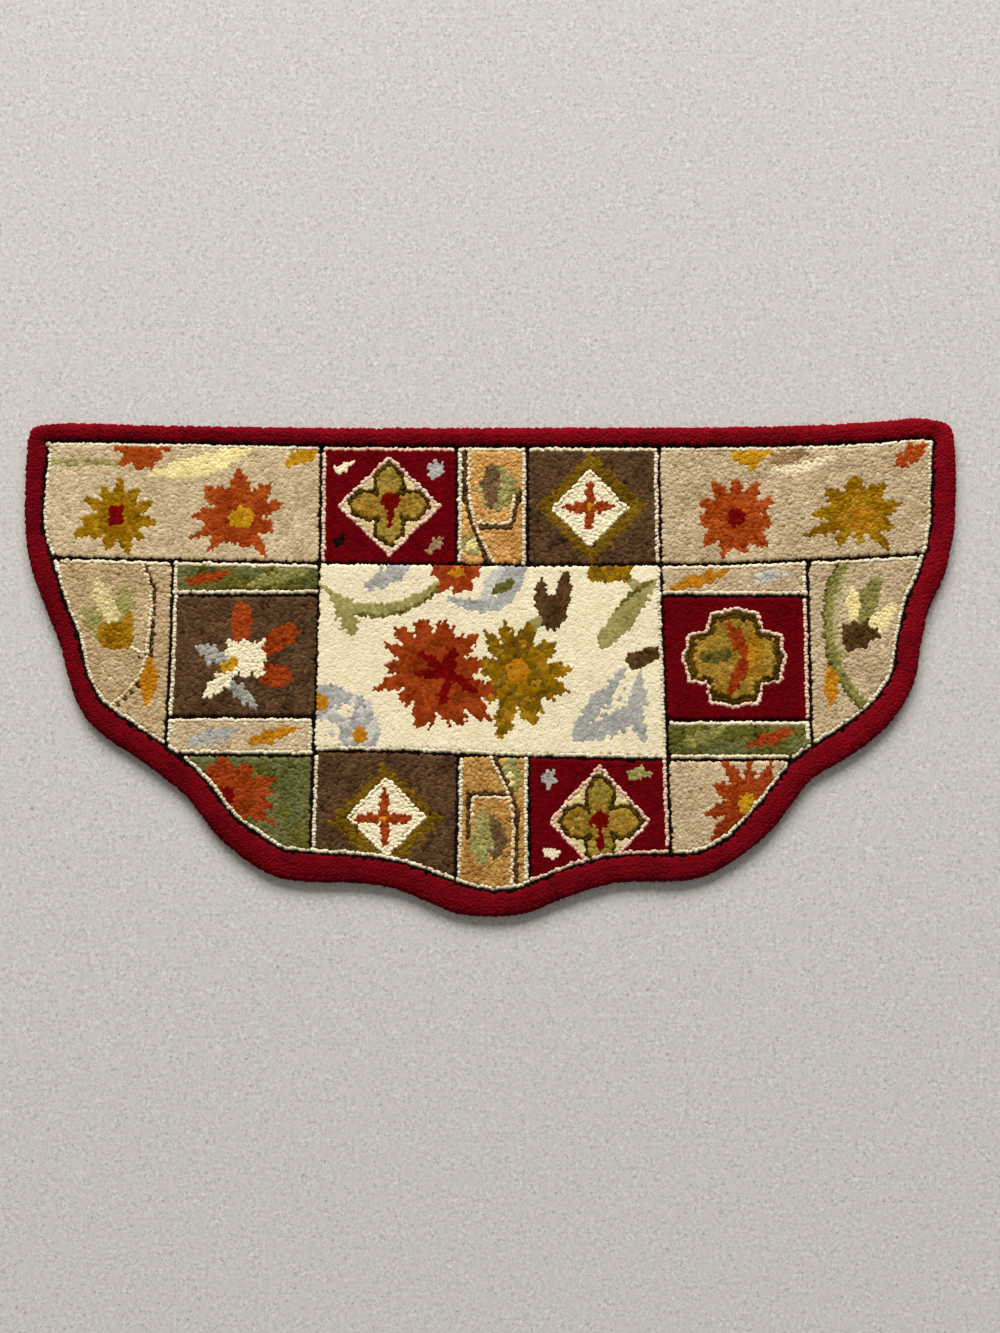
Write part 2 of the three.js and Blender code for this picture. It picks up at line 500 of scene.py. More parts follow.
# The rows at each block's left, right, back and front, or None where it runs on to the
# border, and the sides that have a cream row inside the block
SIDES = ("left", "right", "back", "front")
BLOCKS = {
    "back_left_block": (None, "left", None, "back", []),
    "back_red_block": ("left", "back tan left", None, "back", ["left"]),
    "back_tan_block": ("back tan left", "back tan right", None, "back", ["left", "right"]),
    "back_taupe_block": ("back tan right", "right", None, "back", ["right"]),
    "back_right_block": ("right", None, None, "back", []),
    "left_wing": (None, "left wing", "back", None, ["back"]),
    "left_green_strip": ("left wing", "left", "back", "left strip back", ["left", "back", "front"]),
    "left_taupe_block": ("left wing", "left", "left strip back", "left strip front", ["left"]),
    "left_beige_strip": ("left wing", "left", "left strip front", "front",
                         ["left", "back", "right", "front"]),
    "centre_block": ("left", "right", "back", "front", ["right", "front"]),
    "right_beige_strip": ("right", "right wing", "back", "right strip back", ["back", "right", "front"]),
    "right_red_block": ("right", "right wing", "right strip back", "right strip front", ["right"]),
    "right_green_strip": ("right", "right wing", "right strip front", "front", ["back", "right", "front"]),
    "right_wing": ("right wing", None, "back", None, ["back"]),
    "front_left_block": (None, "left", "front", None, []),
    "front_taupe_block": ("left", "front tan left", "front", None, ["left"]),
    "front_tan_block": ("front tan left", "front tan right", "front", None, ["left", "right"]),
    "front_red_block": ("front tan right", "right", "front", None, ["right"]),
    "front_right_block": ("right", None, "front", None, []),
}


def row_across(name, x):
    """How far back a row across the rug lies, at the given x"""
    return np.interp(x, *np.array(ROWS_ACROSS[name], float).T)


def row_down(name, y):
    """How far right a row down the rug lies, at the given y"""
    across, back = np.array(ROWS_DOWN[name], float)[::-1].T
    return np.interp(y, back, across)


def in_block(name, places, clearance):
    """Which places are inside a block, and clear of the rows that bound it"""
    x, y = places.T
    left, right, back, front, _ = BLOCKS[name]
    within = inside(groove_line, places)
    if left:
        within &= x > row_down(left, y) + clearance
    if right:
        within &= x < row_down(right, y) - clearance
    if back:
        within &= y < row_across(back, x) - clearance
    if front:
        within &= y > row_across(front, x) + clearance
    return within


def plant_beads(name, places, tops, ways, colours):
    """Loops pulled high along a row, so that they stand like beads"""
    half_size = np.array([BEAD_LENGTH / 2, BEAD_WIDTH / 2, CROWN])
    plant_loops(
        name,
        np.column_stack([places, tops]),
        level(ways + rng.normal(0, BEAD_TURN, ways.shape)),
        standing(places, BEAD_LEAN),
        half_size * rng.normal(1, BEAD_SIZE_SPREAD, (len(places), 1)),
        colours,
        hooked_wool,
    )


groove_points = points_tree(spaced_along(worked_lines[0], 1)[0])
step_in = np.roll(groove_line, -1, axis=0) - np.roll(groove_line, 1, axis=0)
step_in = np.column_stack([-step_in[:, 1], step_in[:, 0]]) / np.hypot(*step_in.T)[:, None]
border_cream = groove_line + CREAM_OFFSET * step_in
border_cream = np.vstack([border_cream, border_cream[:1]])
divider_points = points_tree(np.vstack([
    places[inside(groove_line, places)]
    for places in (spaced_along(line, 1)[0] for line in worked_lines[1:])
]))
places, ways = spaced_along(border_cream, CREAM_PITCH)
kept = distances(divider_points, places) > CREAM_CLEARANCE
cream_places = [places[kept]]
cream_ways = [ways[kept]]
scan = np.arange(-LINE_REACH * 2, LINE_REACH * 2, SCAN_STEP)
for name, (*bounds, cream_sides) in BLOCKS.items():
    for side in cream_sides:
        bound = bounds[SIDES.index(side)]
        offset = CREAM_OFFSET if side in ("left", "front") else -CREAM_OFFSET
        if side in ("left", "right"):
            line = np.column_stack([row_down(bound, scan) + offset, scan])
        else:
            line = np.column_stack([scan, row_across(bound, scan) + offset])
        places, ways = spaced_along(line, CREAM_PITCH)
        kept = in_block(name, places, CREAM_CLEARANCE)
        kept &= distances(groove_points, places) > 2 * CREAM_OFFSET
        cream_places.append(places[kept])
        cream_ways.append(ways[kept])
cream_places = np.vstack(cream_places)
cream_ways = np.vstack(cream_ways)
cream_places += rng.normal(0, CREAM_WAVER, cream_places.shape)
cream_tops = pile_height(cream_places) + CREAM_RISE + rng.normal(0, BEAD_UNEVENNESS, len(cream_places))
cream_colours = yarn_colours("outline cream", cream_places)
# Painted reflection: the cream beads beside the red blocks are tinted rose, for red light thrown on them
# by the red wool
for name in ("back_red_block", "right_red_block", "front_red_block"):
    by_red = in_block(name, cream_places, 0)
    cream_colours[by_red] = yarn_colours("cream with red reflection", cream_places)[by_red]
plant_beads("cream_outline_rows", cream_places, cream_tops, cream_ways, cream_colours)

# Drawn rows
# Single rows of beads that draw a line inside a block: the edges of the diamonds and the
# quatrefoils, the panels of the tan blocks and the tendril of the left wing.
POINTED_ARM = ((0.53, 0.53), (0.45, 0.90), (0.22, 0.92), (0, 1))
WIDE_ARM = ((0.23, 0.27), (0.35, 0.48), (0.33, 0.70), (0.16, 0.88), (0, 1))
DRAWN_RISE = 0.6
DRAWN_WAVER = 0.7


def four_armed(x, y, reach_across, reach_back, arm):
    """The outline of a form with four like arms. Half an arm is given from its neck to its
    tip, by how far each corner lies sideways and outwards as shares of the reach."""
    whole_arm = [(-side, out) for side, out in arm] + [(side, out) for side, out in arm[-2:0:-1]]
    corners = []
    for quarter in range(4):
        cos, sin = math.cos(quarter * math.pi / 2), math.sin(quarter * math.pi / 2)
        corners += [(out * cos - side * sin, out * sin + side * cos) for side, out in whole_arm]
    return np.array(corners) * (reach_across, reach_back) + (x, y)


def closed(outline):
    """An outline with its first corner again at its end"""
    return np.vstack([outline, outline[:1]])


def four_cornered(x, y, reach_across, reach_back):
    """The closed outline of a square on its point"""
    return closed(np.multiply(((-1, 0), (0, -1), (1, 0), (0, 1)), (reach_across, reach_back)) + (x, y))


# Each drawn row: its yarn, whether it has every loop or each second or third, and its line
DRAWN_ROWS = [
    # The rose-tinted cream rows beside red ground carry a painted reflection of the red wool
    ("cream with red reflection", 1, four_cornered(-127, 203, 63, 61)),
    ("dark olive", 1, closed(four_armed(-127, 204, 51, 51, WIDE_ARM))),
    ("cream with red reflection", 1, four_cornered(137, -193, 62, 68)),
    ("dark olive", 1, closed(four_armed(138, -194, 51, 58, WIDE_ARM))),
    ("cream", 1, four_cornered(125, 200, 46, 47)),
    ("cream", 1, four_cornered(-131, -188, 48, 48)),
    ("soft cream", 1, [(-27, 278), (-26, 212), (-20, 181), (24, 181), (30, 216)]),
    ("brown", 1, [(-32, 278), (-31, 206), (-24, 180), (-2, 131)]),
    ("brown", 1, [(-14, 176), (26, 175), (34, 206), (37, 224)]),
    ("soft cream", 1, [(-18, 175), (4, 131)]),
    ("soft cream", 1, [(0, -112), (22, -158)]),
    ("brown", 1, [(5, -112), (27, -158), (34, -180), (33, -276)]),
    ("soft cream", 1, [(-23, -190), (-22, -164), (24, -164), (29, -200), (27, -276)]),
    ("brown", 1, [(-28, -216), (-28, -159), (20, -159)]),
    ("soft cream", 1, [(-438, 128), (-432, 114), (-427, 98), (-427, 78), (-431, 34), (-432, 14),
                       (-444, -16), (-459, -32), (-478, -48)]),
    ("outline cream", 1, [(-452, 25), (-434, 18)]),
    ("brown", 2, [(-433, 128), (-427, 114), (-422, 98), (-422, 78), (-426, 34), (-427, 14)]),
    ("brown", 3, [(-440, -19), (-455, -36), (-474, -52)]),
    # This rose-tinted cream outline carries a painted reflection of the red ground round it
    ("cream with red reflection", 1, closed(four_armed(307, 12, 65, 63, POINTED_ARM))),
    ("dark olive", 1, closed(four_armed(307, 12, 59.5, 57.5, POINTED_ARM))),
]
drawn_places = []
drawn_ways = []
drawn_colours = []
for yarn, step, line in DRAWN_ROWS:
    places, ways = spaced_along(np.array(line, float), step * CREAM_PITCH)
    kept = inside(groove_line, places) & (distances(groove_points, places) > CREAM_OFFSET)
    drawn_places.append(places[kept])
    drawn_ways.append(ways[kept])
    drawn_colours.append(yarn_colours(yarn, places[kept]))
drawn_places = np.vstack(drawn_places)
drawn_ways = np.vstack(drawn_ways)
drawn_places += rng.normal(0, DRAWN_WAVER, drawn_places.shape)
drawn_tops = pile_height(drawn_places) + DRAWN_RISE + rng.normal(0, BEAD_UNEVENNESS, len(drawn_places))
plant_beads("drawn_rows", drawn_places, drawn_tops, drawn_ways, np.vstack(drawn_colours))

# Back left block
# Beige ground with a gold star flower and a rust one. The ground of every block is hooked
# in short, wandering rows, round the motifs that were hooked before it.
ROW_PITCH = 3.2
LOOP_PITCH = 4.5
LOOP_LENGTH = 7.4
LOOP_WIDTH = 5.8
LOOP_CROWN = 0.95
LOOP_LEAN = 0.1
LOOP_TURN = 0.9
LOOP_WAVER = 0.35
LOOP_UNEVENNESS = 0.08
TOP_UNEVENNESS = 0.24
LOW_SPREAD = 1.25
LOW_DEPTH = 0.5
CROWN_EASE = 0.7
WANDER = 2.2
WANDER_SIZE = 22
WIGGLE = 0.9
WIGGLE_SIZE = 8
RING_WIGGLE = 0.6
CROWDED = 2.7
CLEAR_OF_BLACK = 5.4
CLEAR_OF_BEADS = 4.4
STILL_CLEAR = 0.9
EDGE_ROUGHNESS = 0.6
PETAL_UNEVENNESS = 0.08
PETAL_CHANGE = 2.4
LEAF_FULLNESS = 0.8
SAW_DEPTH = 0.6
LOBE_SAW = 0.15
LOBE_TEETH = 2
STROKE_STEP = 1.5


def star(x, y, tips, reach, notch, turn, full):
    """A flower of uneven petals round a middle. Petals are fuller where full is above 1."""
    def covers(places):
        away = places - (x, y)
        turned = (np.degrees(np.arctan2(*away.T[::-1])) - turn) * tips / 360
        petal = np.round(turned)
        share = 2 * np.abs(turned - petal)
        longest = reach * (1 + PETAL_UNEVENNESS * np.sin(PETAL_CHANGE * petal + x))
        return np.hypot(*away.T) < longest + (notch - longest) * share ** full
    return covers


def oval(x, y, width, height, turn=0):
    """An oval patch"""
    def covers(places):
        away = places - (x, y)
        cos, sin = math.cos(math.radians(turn)), math.sin(math.radians(turn))
        return (2 * (away @ (cos, sin)) / width) ** 2 + (2 * (away @ (-sin, cos)) / height) ** 2 < 1
    return covers


def box(x, y, width, height):
    """An upright rectangle"""
    return lambda places: (np.abs(places - (x, y)) < (width / 2, height / 2)).all(axis=1)


def diamond(x, y, width, height, teeth=0, ragged=0.0):
    """A square on its point, with a plain or a toothed edge"""
    def covers(places):
        away = places - (x, y)
        edge = 1 + ragged * np.sin(teeth * np.arctan2(*away.T[::-1]))
        return 2 * np.abs(away[:, 0]) / width + 2 * np.abs(away[:, 1]) / height < edge
    return covers


def leaf(start, end, width, bend=0.0, widest=0.5, teeth=0):
    """A pointed leaf from its stalk to its tip, with its middle bent to the left by bend, and
    with a number of teeth down each side"""
    def covers(places):
        spine = np.subtract(end, start)
        length = np.hypot(*spine)
        along = (places - start) @ spine / length ** 2
        across = (places - start) @ (-spine[1], spine[0]) / length
        inner = np.clip(along, 0, 1)
        swell = np.sin(np.pi * inner ** (math.log(0.5) / math.log(widest))) ** LEAF_FULLNESS
        saw = 1 + SAW_DEPTH * ((inner * teeth) % 1 - 0.5) if teeth else 1
        off_spine = np.abs(across - bend * np.sin(np.pi * inner))
        return (along > 0) & (along < 1) & (off_spine < width / 2 * swell * saw)
    return covers


def lobed(x, y, lobes, notch, full=1.5):
    """A leaf or flower with a pointed, saw-edged lobe in each direction, given in degrees
    with its reach. Between two lobes the edge falls back to the notch, a share of the
    shorter reach."""
    bearings, reaches = np.array(sorted((bearing % 360, reach) for bearing, reach in lobes), float).T

    def covers(places):
        away = places - (x, y)
        angle = np.degrees(np.arctan2(*away.T[::-1])) % 360
        ahead = np.searchsorted(bearings, angle) % len(bearings)
        behind = ahead - 1
        span = (bearings[ahead] - bearings[behind]) % 360
        share = (angle - bearings[behind]) % 360 / span
        tip = reaches[behind] + share * (reaches[ahead] - reaches[behind])
        depth = tip - notch * np.minimum(reaches[ahead], reaches[behind])
        between = 1 - np.abs(2 * share - 1)
        saw = 1 + LOBE_SAW * (0.5 - between * LOBE_TEETH % 1)
        return np.hypot(*away.T) < (tip - depth * between ** full) * saw
    return covers


def stroke(line, width, tapered=False):
    """A band of even width along a line of points, or one that narrows to its ends"""
    dense, _ = spaced_along(np.array(line, float), STROKE_STEP)
    share = np.linspace(0, 1, len(dense))
    half = width / 2 * (np.sqrt(np.sin(np.pi * share)) if tapered else np.ones(len(dense)))

    def covers(places):
        found = np.zeros(len(places), bool)
        for spot, radius in zip(dense, half):
            found |= np.hypot(*(places - spot).T) < radius
        return found
    return covers


def patches(covers, size, seed, least=0.0):
    """Cloudy patches of a second yarn inside a motif"""
    return lambda places: covers(places) & (drift(places, size, seed) > least)


def filled(outline):
    """The whole of a closed outline"""
    return lambda places: inside(outline, places)


def bends(places, amount, size, seeds):
    """Slow random shifts across the rug, of at most the given amount each way"""
    return amount * np.column_stack([drift(places, size, seed) for seed in seeds])


def wandering_rows(low, high, turn):
    """Loops in rows that wander as hand-hooked ones do: their places and directions"""
    middle = (low + high) / 2
    reach = np.hypot(*(high - low)) / 2
    along, across = np.meshgrid(np.arange(-reach, reach, LOOP_PITCH), np.arange(-reach, reach, ROW_PITCH))
    along[1::2] += LOOP_PITCH / 2
    grid = np.column_stack([along.ravel(), across.ravel()])
    cos, sin = math.cos(math.radians(turn)), math.sin(math.radians(turn))

    def placed(spots):
        bent = spots + bends(spots, WANDER, WANDER_SIZE, (11, 12))
        bent = bent + bends(spots, WIGGLE, WIGGLE_SIZE, (13, 14))
        return middle + bent @ np.array([[cos, sin], [-sin, cos]])

    places = placed(grid)
    ways = placed(grid + (0.5, 0)) - places
    return places, ways / np.hypot(*ways.T)[:, None]


def ringed_rows(centre, reach):
    """Loops in rings round a centre: their places and directions"""
    places = []
    for radius in np.arange(LOOP_PITCH, reach, ROW_PITCH):
        count = max(5, round(2 * math.pi * radius / LOOP_PITCH))
        angle = 2 * np.pi * (np.arange(count) + rng.uniform()) / count
        places.append(centre + radius * np.column_stack([np.cos(angle), np.sin(angle)]))
    places = np.vstack(places)
    outward = (places - centre) / np.hypot(*(places - centre).T)[:, None]
    return places + bends(places, RING_WIGGLE, WIGGLE_SIZE, (15, 16)), outward[:, ::-1] * (-1, 1)


def reshaped(width, depth):
    """The loop's corners with its lower half made wider or narrower, and less deep"""
    return loop_corners * np.where(loop_corners[:, 2:] < 0, (width, width, depth), 1)


def nearest_in_rows(places):
    """The loop of the outline and drawn rows that is nearest to each place: where it is, how
    far off, and how far from it the field's loops keep"""
    found = [row_points.find((x, y, 0)) for x, y in places]
    spots = np.array([spot[:2] for spot, _, _ in found])
    gaps = np.array([gap for _, _, gap in found])
    return spots, gaps, row_clearance[[number for _, number, _ in found]]


def hook_block(name, ground, motifs, turn=0, rings=None, *, relief):
    """One block of the field: loops over its ground, each in the yarn of the last motif
    that covers it, or in the ground's own. Each row of motifs has its yarn and its shapes.
    Relief is how unevenly the loops stand, as a share of the most."""
    if rings:
        places, ways = ringed_rows(np.array(rings, float), 2 * LINE_REACH)
    else:
        spots = field_spots[in_block(name, field_spots, 0)]
        places, ways = wandering_rows(spots.min(axis=0), spots.max(axis=0), turn)
    kept = in_block(name, places, CROWDED / 2)
    places, ways = places[kept], ways[kept]
    places = places + rng.normal(0, LOOP_WAVER, places.shape)
    spots, gaps, clear = nearest_in_rows(places)
    pushed = spots + (places - spots) / np.maximum(gaps, WELD)[:, None] * clear[:, None]
    places = np.where((gaps < clear)[:, None], pushed, places)
    _, new_gaps, new_clear = nearest_in_rows(places)
    free = (new_gaps > STILL_CLEAR * new_clear) & (gaps > CROWDED)
    places, ways = places[free], ways[free]
    judged = places + EDGE_ROUGHNESS * rng.uniform(-1, 1, places.shape)
    colours = yarn_colours(ground, places)
    for yarn, *shapes in motifs:
        for covers in shapes:
            covered = covers(judged)
            colours[covered] = yarn_colours(yarn, places)[covered]
    spin = rng.normal(0, LOOP_TURN, len(places))
    turned = ways * np.cos(spin)[:, None] + ways[:, ::-1] * (-1, 1) * np.sin(spin)[:, None]
    tops = pile_height(places) + relief * rng.normal(0, TOP_UNEVENNESS, len(places))
    half_size = np.array([LOOP_LENGTH / 2, LOOP_WIDTH / 2, LOOP_CROWN * relief ** CROWN_EASE])
    sizes = half_size * rng.normal(1, LOOP_UNEVENNESS, (len(places), 3))
    plant_loops(name, np.column_stack([places, tops]), level(turned), standing(places, LOOP_LEAN * relief),
                sizes, colours, hooked_wool, low_loop)


# The field's loops spread more at the foot and are less deep than those of the rows
low_loop = reshaped(LOW_SPREAD, LOW_DEPTH)
row_places = np.vstack([black_places, cream_places, drawn_places])
row_points = points_tree(row_places)
row_clearance = np.full(len(row_places), CLEAR_OF_BEADS)
row_clearance[:len(black_places)] = CLEAR_OF_BLACK
field_spots = np.column_stack([axis.ravel() for axis in np.meshgrid(
    scan,
    np.arange(-LINE_REACH, LINE_REACH, SCAN_STEP),
)])

hook_block("back_left_block", "beige", [
    ("light green", stroke([(-556, 258), (-462, 257)], 9)),
    ("bright rust", lobed(-436, 278, [(184, 36), (220, 38), (256, 32), (290, 32), (325, 28), (356, 36),
                                      (90, 30)], 0.75)),
    ("orange", oval(-428, 280, 26, 6)),
    ("pale yellow", leaf((-432, 243), (-292, 280), 26, -7)),
    ("gold", leaf((-262, 253), (-210, 278), 19, teeth=3)),
    ("olive gold", star(-468, 190, 11, 47, 28, 22, 1.3), leaf((-490, 181), (-525, 164), 14)),
    ("deep gold", patches(star(-468, 190, 11, 40, 27, 22, 1.5), 8, 21, 0.3)),
    ("dark red", box(-471, 191, 18, 26)),
    ("bright rust", lobed(-313, 190, [(92, 57), (46, 53), (17, 54), (335, 40), (300, 60), (262, 30),
                                      (226, 58), (203, 66), (180, 60), (142, 55)], 0.68)),
    ("rust", patches(oval(-313, 190, 76, 76), 10, 22)),
    ("gold", oval(-312, 189, 36, 26, 10)),
], turn=4, relief=0.4)

# Back red block
# Deep red ground: a cream diamond with a quatrefoil in it, and a small motif in each
# corner.
hook_block("back_red_block", "red", [
    # The diamond's rose-tinted cream edge is a painted reflection of the red ground
    ("cream with red reflection", diamond(-127, 203, 124, 120)),
    ("soft yellow", diamond(-127, 203, 114, 110)),
    ("dark olive", filled(four_armed(-127, 204, 53, 53, WIDE_ARM))),
    ("olive yellow", filled(four_armed(-127, 204, 48, 48, WIDE_ARM))),
    ("ochre", patches(oval(-127, 203, 88, 44), 8, 23, -0.6)),
    ("dark red", stroke([(-126, 208), (-127, 186), (-127, 174)], 9, True), oval(-126, 209, 23, 21)),
    ("cream", leaf((-198, 245), (-172, 259), 10, teeth=3)),
    ("grey blue", lobed(-68, 249, [(90, 12), (25, 12), (320, 11), (240, 14), (160, 12)], 0.7)),
    ("black", oval(-190, 159, 14, 13)),
    ("light taupe", leaf((-81, 144), (-59, 163), 14, teeth=3)),
], turn=38, relief=0.45)

# Back tan block
# Tan ground: a cream line with a brown shadow frames a panel that holds a two-coloured
# leaf.
hook_block("back_tan_block", "light tan", [
    ("light green", leaf((-36, 150), (-8, 160), 24)),
    ("pale yellow", leaf((-31, 147), (-16, 164), 12)),
    ("light green", leaf((12, 258), (2, 196), 50, 6, 0.6, 3)),
    ("dark taupe", leaf((5, 258), (0, 200), 24, -3)),
], turn=90, relief=0.9)

# Back taupe block
# Taupe ground: a ragged olive ring round a cream diamond, with a rust cross of four petals.
hook_block("back_taupe_block", "taupe", [
    ("bronze", diamond(127, 201, 140, 138, 28, 0.05)),
    ("brown", diamond(126, 200, 102, 104)),
    ("cream", diamond(125, 200, 92, 94)),
    ("rust", leaf((125, 196), (125, 234), 13), leaf((129, 201), (90, 201), 13),
     leaf((121, 201), (159, 203), 13), leaf((125, 206), (125, 169), 13), diamond(125, 201, 16, 16)),
    ("orange", oval(125, 203, 10, 10)),
], turn=45, relief=0.7)

# Back right block
# Beige ground with a rust daisy and a gold leaf, and leaf ends along the back.
hook_block("back_right_block", "right beige", [
    ("light beige", stroke([(350, 250), (380, 247), (436, 264)], 12, True)),
    ("gold", leaf((299, 264), (354, 272), 24, teeth=3), leaf((326, 276), (331, 246), 24, 0, 0.4)),
    ("light taupe", leaf((348, 258), (400, 270), 18, 0, 0.45, 4)),
    ("bright rust", leaf((507, 253), (549, 280), 21, teeth=3), star(308, 188, 11, 51, 33, 24, 1.5)),
    ("rust", patches(oval(308, 188, 76, 76), 10, 26, 0.1)),
    ("dark red", oval(309, 188, 21, 23)),
    ("olive gold", lobed(461, 190, [(95, 49), (140, 52), (178, 54), (200, 64), (240, 42), (275, 30),
                                    (315, 57), (342, 48), (16, 56), (50, 53)], 0.66)),
    ("deep gold", patches(oval(461, 190, 70, 70), 8, 27), oval(468, 184, 42, 36, -20)),
    ("orange", patches(oval(468, 185, 34, 28), 6, 46, -0.1)),
], turn=-3, relief=0.7)

# Left wing
# Beige ground in rows that curve round the lower corner. A tulip stands on a gold calyx,
# beside a cream tendril with brown stitches.
hook_block("left_wing", "wing beige", [
    ("brown", patches(stroke([(-432, 126), (-422, 100), (-421, 78), (-425, 34), (-427, 12)], 5),
                      3.5, 28, 0.1),
     patches(stroke([(-440, -18), (-456, -36), (-474, -50)], 5), 3.5, 29), oval(-441, 13, 6, 6)),
    ("light green", leaf((-482, 34), (-514, 76), 26, teeth=3),
     leaf((-468, 50), (-459, 102), 29, teeth=3)),
    ("soft yellow", leaf((-477, 58), (-496, 114), 22, teeth=3), leaf((-472, 48), (-479, 88), 18)),
    ("deep gold", oval(-471, 36, 44, 30), leaf((-482, 34), (-485, 58), 18),
     leaf((-462, 34), (-452, 70), 20)),
    ("olive gold", patches(oval(-468, 42, 40, 34), 7, 30)),
    ("orange", leaf((-427, 12), (-433, -50), 22)),
], rings=(-479, -12), relief=0.7)

# Left green strip
# A narrow green band with a rust leaf and a pale one.
hook_block("left_green_strip", "strip green", [
    ("moss", patches(box(-310, 110, 190, 40), 20, 31, 0.1)),
    ("rust", leaf((-386, 107), (-326, 119), 15)),
    ("leaf green", leaf((-306, 101), (-227, 121), 17, 3)),
], relief=0.7)

# Left taupe block
# Taupe ground with a loose six-petalled flower in rust, grey blue and cream.
hook_block("left_taupe_block", "taupe", [
    ("rust", oval(-313, 56, 27, 54), oval(-267, 34, 56, 29, 38), oval(-270, -11, 47, 29, -4)),
    ("slate", leaf((-372, 26), (-322, 4), 21, teeth=4)),
    ("cream", lobed(-308, 10, [(132, 32), (90, 25), (48, 32), (0, 26), (318, 30), (270, 24),
                               (225, 25)], 0.85)),
    ("slate", leaf((-338, -12), (-293, -51), 18, 0, 0.55, 4)),
    ("cream", leaf((-320, 5), (-364, -40), 20, 2, 0.45, 4)),
    ("gold", leaf((-343, -8), (-315, 11), 15, 0, 0.55)),
], turn=30, relief=0.7)

# Left beige strip
# A narrow beige band with a grey blue leaf and an orange one.
hook_block("left_beige_strip", "beige", [
    ("grey blue", leaf((-384, -95), (-318, -78), 17, teeth=5)),
    ("orange", leaf((-311, -96), (-239, -76), 15, teeth=4)),
], relief=0.5)

# Centre block
# Cream ground with two large maple leaves, rust and olive, among sprigs, buds and scrolls.
olive_leaf = lobed(34, -8, [(128, 66), (105, 65), (77, 62), (40, 58), (5, 66), (341, 64), (288, 62),
                            (254, 84), (215, 50), (165, 50)], 0.7, 1.8)
rust_leaf = lobed(-70, -6, [(196, 80), (172, 60), (150, 70), (132, 75), (105, 68), (78, 63), (41, 68),
                            (10, 58), (340, 82), (319, 92), (298, 72), (252, 72), (219, 56)], 0.78, 1.8)
hook_block("centre_block", "cream", [
    ("grey blue", leaf((-164, 97), (-98, 128), 22, teeth=4)),
    ("strip green", stroke([(-166, 68), (-138, 66), (-112, 71), (-86, 83), (-64, 98)], 8)),
    ("light green", stroke([(-216, 106), (-196, 88), (-168, 75), (-138, 73), (-113, 78), (-88, 89),
                            (-58, 110)], 14, True), leaf((-190, 92), (-171, 38), 25, teeth=4)),
    ("rust", lobed(-43, 120, [(184, 31), (232, 34), (275, 28), (308, 32), (356, 30), (90, 30)], 0.72)),
    ("orange", oval(-42, 119, 22, 11)),
    ("pale blue", leaf((-12, 82), (34, 126), 26, 5)),
    ("grey blue", leaf((4, 94), (46, 128), 26),
     stroke([(-58, 88), (-34, 80), (-8, 76), (10, 80), (24, 91), (36, 106), (43, 128)], 16, True)),
    ("strip green", leaf((-2, 90), (31, 111), 13)),
    ("brown", oval(79, 70, 34, 48, -20), leaf((62, 66), (66, 112), 17),
     leaf((86, 62), (97, 120), 21, 0, 0.45), oval(92, 111, 11, 16)),
    ("light green", leaf((45, 37), (64, 66), 14)),
    ("bronze", box(150, 117, 56, 18)),
    ("olive gold", patches(box(150, 117, 56, 18), 6, 32, 0.1)),
    ("light green", leaf((171, 111), (192, 97), 12)),
    ("strip green", leaf((152, 62), (212, 114), 16)),
    ("light green", leaf((137, 26), (212, 113), 27, 0, 0.32)),
    ("brown", oval(184, 9, 30, 24), leaf((176, 8), (218, 22), 19)),
    ("grey blue", leaf((168, 2), (148, -52), 22, 0, 0.55, 4),
     leaf((160, -28), (122, -46), 20, teeth=3), leaf((150, -36), (104, -94), 18, -6, 0.5, 4),
     leaf((188, -2), (172, -76), 25, 6, 0.6, 5), leaf((184, -54), (104, -92), 28, 2, 0.4, 6),
     leaf((180, -52), (195, -94), 18, 0, 0.4, 3)),
    ("cream", leaf((176, -6), (152, -60), 10, -3)),
    ("grey blue", oval(-204, -44, 50, 46), oval(-170, -64, 48, 66, 25), oval(-164, -84, 52, 46)),
    ("pale blue", patches(oval(-176, -66, 70, 70), 9, 33, 0.2)),
    ("cream", oval(-181, -53, 21, 18)),
    ("orange", oval(-211, -44, 13, 21), oval(-164, -85, 20, 21)),
    ("olive gold", olive_leaf),
    ("bronze", patches(olive_leaf, 7, 35)),
    ("deep gold", patches(olive_leaf, 10, 36, 0.4)),
    ("orange", patches(oval(35, -6, 30, 30), 5, 37, -0.8)),
    ("rust", rust_leaf),
    ("brown rust", patches(rust_leaf, 11, 38, 0.25)),
    ("dark red", leaf((-48, -10), (-92, 20), 14), leaf((-46, -12), (-98, -6), 11),
     leaf((-56, -12), (-46, 24), 17), leaf((-52, -4), (-61, -52), 12), leaf((-58, -2), (-16, -32), 14)),
], turn=12, relief=0.2)

# Right beige strip
# A narrow beige band with an orange leaf and a grey blue one.
hook_block("right_beige_strip", "right beige", [
    ("orange", leaf((224, 99), (300, 121), 16, teeth=4)),
    ("pale blue", leaf((322, 106), (378, 117), 12, 3)),
    ("grey blue", leaf((326, 108), (370, 114), 7, 3)),
], relief=0.5)

# Right red block
# Deep red ground with a pointed quatrefoil: olive loops, a green leaf and two rust strokes.
hook_block("right_red_block", "red", [
    ("dark olive", filled(four_armed(307, 12, 59, 57, POINTED_ARM))),
    ("ochre", filled(four_armed(307, 12, 52, 50, POINTED_ARM))),
    ("deep gold", patches(oval(330, 14, 30, 60), 6, 47, -0.3)),
    ("orange", oval(329, 14, 14, 30)),
    ("rust", leaf((297, 57), (323, 8), 17, 2), leaf((322, 18), (299, -36), 17, 2)),
    ("dark moss", stroke([(268, 12), (282, 14), (296, 15)], 14)),
], turn=25, relief=0.45)

